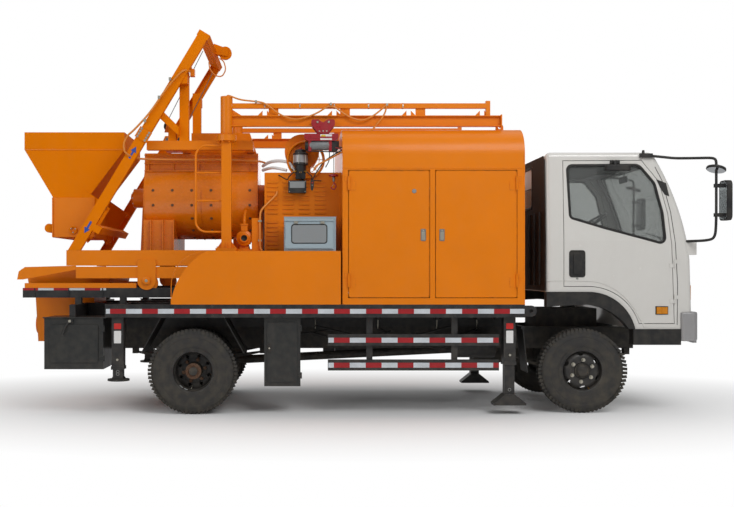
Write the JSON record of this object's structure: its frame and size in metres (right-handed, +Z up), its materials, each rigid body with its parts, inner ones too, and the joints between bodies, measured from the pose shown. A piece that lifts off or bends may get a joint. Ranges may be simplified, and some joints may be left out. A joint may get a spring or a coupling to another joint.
{
  "type": "truck-mounted concrete mixer pump",
  "caption": "cab-over truck carrying a drum concrete mixer with a skip hoist on inclined rails, a receiving hopper and piston pump, a machinery housing, two jib cranes and jacks",
  "frame": {"origin": "on the ground, below the middle of the vehicle's outline", "axes": "+X towards the front of the truck, +Y to its left, +Z up"},
  "size_m": [7.16, 2.65, 3.9642],
  "materials": {
    "black_paint": "satin black",
    "black_plastic": "moulded",
    "blue_grey_paint": "semi-gloss grey blue",
    "cab_plastic": "grained",
    "glass": "clear tinted",
    "orange_paint": "gloss orange",
    "red_paint": "gloss red",
    "rim_paint": "satin black",
    "silver_paint": "silver grey",
    "tyre": "moulded rubber, lightly dusted",
    "white_paint": "gloss white"
  },
  "bodies": {
    "chassis": {"axles": "black_paint", "chassis_frame": "black_paint", "concrete_pump": "orange_paint", "control_box": "blue_grey_paint", "deck_frame": "black_paint", "deck_outriggers": "black_paint", "drive_line": "black_paint", "grease_pump": "black_paint", "housing": "orange_paint", "jack_sleeves": "black_paint", "leaf_springs": "black_paint", "louvre_box": "orange_paint", "mast": "orange_paint", "mixer": "orange_paint", "mixer_frame": "orange_paint", "mixer_hood": "orange_paint", "mudguards": "black_paint", "power_unit": "black_paint", "pump_rails": "black_paint", "receiving_hopper": "orange_paint", "side_boxes": "black_paint", "side_guards": "black_paint", "skirts": "orange_paint", "tanks": "black_paint"},
    "skip": {"skip_bucket": "orange_paint"},
    "sheave": {"mast_sheave": "orange_paint"},
    "hoist_trolley": {"hoist": "red_paint"},
    "cab": {"cab_body": "white_paint", "cab_glass": "glass", "cab_interior": "cab_plastic", "bumper": "silver_paint", "cab_trim": "black_plastic", "mirrors": "black_plastic"},
    "control_lid_body": {"control_lid": "blue_grey_paint"},
    "tool_box_door_body": {"tool_box_door": "black_paint"},
    "cabinet_door_body": {"cabinet_door": "black_paint"},
    "knuckle_body_right": {"knuckle_right": "black_paint"},
    "wheel_front_right": {"tyre_front_right": "tyre", "rim_front_right": "rim_paint"},
    "wheels_rear_right": {"tyres_rear_right": "tyre", "rims_rear_right": "rim_paint"},
    "cab_door_body_right": {"cab_door_right": "white_paint", "door_glass_right": "glass"},
    "jib_body_right": {"jib_right": "orange_paint"},
    "housing_door_body_rear_right": {"housing_door_rear_right": "orange_paint"},
    "jack_rear_right": {"jack_leg_rear_right": "black_paint"},
    "housing_door_body_front_right": {"housing_door_front_right": "orange_paint"},
    "jack_front_right": {"jack_leg_front_right": "black_paint"},
    "knuckle_body_left": {"knuckle_left": "black_paint"},
    "wheel_front_left": {"tyre_front_left": "tyre", "rim_front_left": "rim_paint"},
    "wheels_rear_left": {"tyres_rear_left": "tyre", "rims_rear_left": "rim_paint"},
    "cab_door_body_left": {"cab_door_left": "white_paint", "door_glass_left": "glass"},
    "jib_body_left": {"jib_left": "orange_paint"},
    "housing_door_body_rear_left": {"housing_door_rear_left": "orange_paint"},
    "jack_rear_left": {"jack_leg_rear_left": "black_paint"},
    "housing_door_body_front_left": {"housing_door_front_left": "orange_paint"},
    "jack_front_left": {"jack_leg_front_left": "black_paint"}
  },
  "joints": [
    {"name": "steer_right", "type": "hinge", "parent": "chassis", "child": "knuckle_body_right", "pos_m": [2.21, -0.72, 0.43], "axis": [0, 0, 1], "range_deg": [-32, 32]},
    {"name": "steer_left", "type": "hinge", "parent": "chassis", "child": "knuckle_body_left", "pos_m": [2.21, 0.72, 0.43], "axis": [0, 0, 1], "range_deg": [-32, 32]},
    {"name": "wheel_front_right_spin", "type": "hinge", "parent": "knuckle_body_right", "child": "wheel_front_right", "pos_m": [2.21, -0.86, 0.43], "axis": [0, 1, 0], "continuous": true},
    {"name": "wheels_rear_right_spin", "type": "hinge", "parent": "chassis", "child": "wheels_rear_right", "pos_m": [-1.74, -0.817, 0.43], "axis": [0, 1, 0], "continuous": true},
    {"name": "wheel_front_left_spin", "type": "hinge", "parent": "knuckle_body_left", "child": "wheel_front_left", "pos_m": [2.21, 0.86, 0.43], "axis": [0, 1, 0], "continuous": true},
    {"name": "wheels_rear_left_spin", "type": "hinge", "parent": "chassis", "child": "wheels_rear_left", "pos_m": [-1.74, 0.817, 0.43], "axis": [0, 1, 0], "continuous": true},
    {"name": "cab_tilt", "type": "hinge", "parent": "chassis", "child": "cab", "pos_m": [2.96, 0, 0.72], "axis": [0, 1, 0], "range_deg": [0, 45]},
    {"name": "cab_door_right_swing", "type": "hinge", "parent": "cab", "child": "cab_door_body_right", "pos_m": [3.12, -1.039, 1.3], "axis": [0, 0, 1], "range_deg": [0, 70]},
    {"name": "housing_door_rear_right_swing", "type": "hinge", "parent": "chassis", "child": "housing_door_body_rear_right", "pos_m": [-0.172, -1.134, 1.8], "axis": [0, 0, -1], "range_deg": [0, 110]},
    {"name": "housing_door_front_right_swing", "type": "hinge", "parent": "chassis", "child": "housing_door_body_front_right", "pos_m": [1.508, -1.134, 1.8], "axis": [0, 0, 1], "range_deg": [0, 110]},
    {"name": "jack_rear_right_slide", "type": "slide", "parent": "chassis", "child": "jack_rear_right", "axis": [0, 0, -1], "range_m": [0, 0.33]},
    {"name": "jack_front_right_slide", "type": "slide", "parent": "chassis", "child": "jack_front_right", "axis": [0, 0, -1], "range_m": [-0.2, 0.08]},
    {"name": "jib_right_swing", "type": "hinge", "parent": "chassis", "child": "jib_body_right", "pos_m": [-1.41, -0.9, 3.05], "axis": [0, 0, -1], "range_deg": [0, 110]},
    {"name": "cab_door_left_swing", "type": "hinge", "parent": "cab", "child": "cab_door_body_left", "pos_m": [3.12, 1.039, 1.3], "axis": [0, 0, -1], "range_deg": [0, 70]},
    {"name": "housing_door_rear_left_swing", "type": "hinge", "parent": "chassis", "child": "housing_door_body_rear_left", "pos_m": [-0.172, 1.134, 1.8], "axis": [0, 0, 1], "range_deg": [0, 110]},
    {"name": "housing_door_front_left_swing", "type": "hinge", "parent": "chassis", "child": "housing_door_body_front_left", "pos_m": [1.508, 1.134, 1.8], "axis": [0, 0, -1], "range_deg": [0, 110]},
    {"name": "jack_rear_left_slide", "type": "slide", "parent": "chassis", "child": "jack_rear_left", "axis": [0, 0, -1], "range_m": [0, 0.33]},
    {"name": "jack_front_left_slide", "type": "slide", "parent": "chassis", "child": "jack_front_left", "axis": [0, 0, -1], "range_m": [-0.2, 0.08]},
    {"name": "jib_left_swing", "type": "hinge", "parent": "chassis", "child": "jib_body_left", "pos_m": [-1.41, 0.9, 3.05], "axis": [0, 0, 1], "range_deg": [0, 110]},
    {"name": "hoist_travel", "type": "slide", "parent": "jib_body_right", "child": "hoist_trolley", "axis": [1, 0, 0], "range_m": [-0.45, 0.02]},
    {"name": "skip_lift", "type": "slide", "parent": "chassis", "child": "skip", "axis": [0.515, 0, 0.8572], "range_m": [0, 1.35]},
    {"name": "mast_sheave_spin", "type": "hinge", "parent": "chassis", "child": "sheave", "pos_m": [-1.4915, 0, 3.86435], "axis": [0, 1, 0], "continuous": true},
    {"name": "control_lid_swing", "type": "hinge", "parent": "chassis", "child": "control_lid_body", "pos_m": [-0.808, -1.1133, 1.8], "axis": [0, 0, -1], "range_deg": [0, 100]},
    {"name": "tool_box_door_swing", "type": "hinge", "parent": "chassis", "child": "tool_box_door_body", "pos_m": [-2.622, -1.111, 0.7], "axis": [0, 0, 1], "range_deg": [0, 110]},
    {"name": "cabinet_door_swing", "type": "hinge", "parent": "chassis", "child": "cabinet_door_body", "pos_m": [-0.647, -1.071, 0.6], "axis": [0, 0, 1], "range_deg": [0, 110]}
  ],
  "couplings": [
    {"joint": "steer_left", "follows": "steer_right", "ratio": 1}
  ]
}
